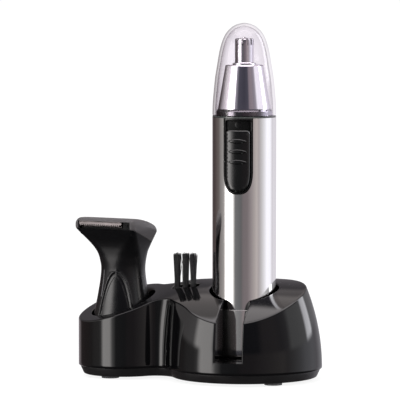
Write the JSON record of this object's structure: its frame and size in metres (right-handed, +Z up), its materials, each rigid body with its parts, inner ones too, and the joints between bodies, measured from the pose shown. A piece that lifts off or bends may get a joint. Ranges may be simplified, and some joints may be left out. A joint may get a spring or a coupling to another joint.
{
  "type": "nose hair trimmer",
  "caption": "Steel battery nose hair trimmer with slide switch and clear cap, standing in a two-lobed black stand with a spare trimming head and cleaning brush.",
  "frame": {"origin": "floor point under the middle of the bounding box", "axes": "+Z up along the trimmer, -Y is the front the switch faces, +X from the small lobe towards the trimmer"},
  "size_m": [0.101, 0.0638, 0.1451],
  "materials": {
    "shell_black": "high gloss black",
    "base_black": "matt dark base plate",
    "rubber_grey": "moulded",
    "zinc_screw": "zinc plated",
    "polished_steel": "polished tube",
    "black_plastic": "moulded internal",
    "spring_steel": "nickel plated",
    "seal_rubber": "o-ring",
    "battery_wrap": "plain foil sleeve",
    "switch_black": "satin gloss",
    "button_black": "satin",
    "copper_alloy": "stamped",
    "motor_steel": "drawn can",
    "ferrite": "sintered magnet",
    "rotor_mix": "laminations and windings",
    "white_plastic": "moulded acetal",
    "chrome_head": "plated",
    "cutter_steel": "ground",
    "clear_plastic": "clear polystyrene",
    "head_black": "satin gloss",
    "cover_grey": "matt dark grey",
    "comb_steel": "ground comb",
    "bristle_black": "nylon bristle"
  },
  "bodies": {
    "stand": {"stand_shell": "shell_black", "stand_base": "base_black", "rubber_feet": "rubber_grey", "stand_screws": "zinc_screw"},
    "battery_cap": {"end_cap": "polished_steel", "end_cap_insert": "black_plastic", "battery_spring": "spring_steel", "cap_seal": "seal_rubber", "battery": "battery_wrap"},
    "handpiece": {"outer_sleeve": "polished_steel", "inner_chassis": "black_plastic", "neck_ring": "button_black", "switch_bezel": "switch_black", "positive_contact": "spring_steel", "contact_strip": "spring_steel", "motor_can": "motor_steel", "motor_magnets": "ferrite", "motor_end_bell": "white_plastic", "motor_terminals": "copper_alloy"},
    "switch": {"switch_button": "button_black", "switch_contact": "copper_alloy"},
    "rotor": {"motor_rotor": "rotor_mix", "motor_shaft": "cutter_steel", "drive_coupling": "white_plastic"},
    "head_lock": {"head_ring": "black_plastic"},
    "head": {"head_cone": "chrome_head", "cutter_guard": "cutter_steel"},
    "blade": {"rotary_blade": "cutter_steel", "blade_shaft": "cutter_steel", "retaining_clip": "spring_steel", "blade_spring": "spring_steel"},
    "cap": {"clear_cap": "clear_plastic"},
    "attachment": {"attachment_body": "head_black", "attachment_cover": "cover_grey", "fixed_blade": "comb_steel", "lever_pin": "cutter_steel", "blade_clamp": "spring_steel"},
    "blade_slide": {"moving_blade": "comb_steel"},
    "lever": {"drive_lever": "white_plastic"},
    "eccentric": {"eccentric_shaft": "white_plastic"},
    "brush": {"brush_handle": "head_black", "brush_tufts": "bristle_black"}
  },
  "joints": [
    {"name": "trimmer_lift", "type": "slide", "parent": "stand", "child": "battery_cap", "axis": [0, 0, 1], "range_m": [0, 0.042]},
    {"name": "handpiece_pull", "type": "slide", "parent": "battery_cap", "child": "handpiece", "axis": [0, 0, 1], "range_m": [0, 0.042]},
    {"name": "switch_slide", "type": "slide", "parent": "handpiece", "child": "switch", "axis": [0, 0, 1], "range_m": [0, 0.0035]},
    {"name": "motor_spin", "type": "hinge", "parent": "handpiece", "child": "rotor", "pos_m": [0.01865, 0, 0.085], "axis": [0, 0, 1], "continuous": true},
    {"name": "head_twist", "type": "hinge", "parent": "handpiece", "child": "head_lock", "pos_m": [0.01865, 0, 0.1074], "axis": [0, 0, 1], "range_deg": [0, 25]},
    {"name": "head_pull", "type": "slide", "parent": "head_lock", "child": "head", "axis": [0, 0, 1], "range_m": [0, 0.012]},
    {"name": "blade_spin", "type": "hinge", "parent": "head", "child": "blade", "pos_m": [0.01865, 0, 0.112], "axis": [0, 0, 1], "continuous": true},
    {"name": "cap_pull", "type": "slide", "parent": "head", "child": "cap", "axis": [0, 0, 1], "range_m": [0, 0.04]},
    {"name": "attachment_lift", "type": "slide", "parent": "stand", "child": "attachment", "axis": [0, 0, 1], "range_m": [0, 0.036]},
    {"name": "lever_swing", "type": "hinge", "parent": "attachment", "child": "lever", "pos_m": [-0.03215, 0, 0.047], "axis": [0.299, 0.9542, 0], "range_deg": [-2.5, 2.5]},
    {"name": "blade_stroke", "type": "slide", "parent": "attachment", "child": "blade_slide", "axis": [0.9542, -0.299, 0], "range_m": [-0.0007, 0.0007]},
    {"name": "eccentric_spin", "type": "hinge", "parent": "attachment", "child": "eccentric", "pos_m": [-0.03215, 0, 0.035], "axis": [0, 0, 1], "continuous": true},
    {"name": "brush_lift", "type": "slide", "parent": "stand", "child": "brush", "axis": [0, 0, 1], "range_m": [0, 0.045]}
  ],
  "couplings": [
    {"joint": "blade_spin", "follows": "motor_spin", "ratio": 1},
    {"joint": "lever_swing", "follows": "blade_stroke", "rad_per_m": 61.35}
  ]
}
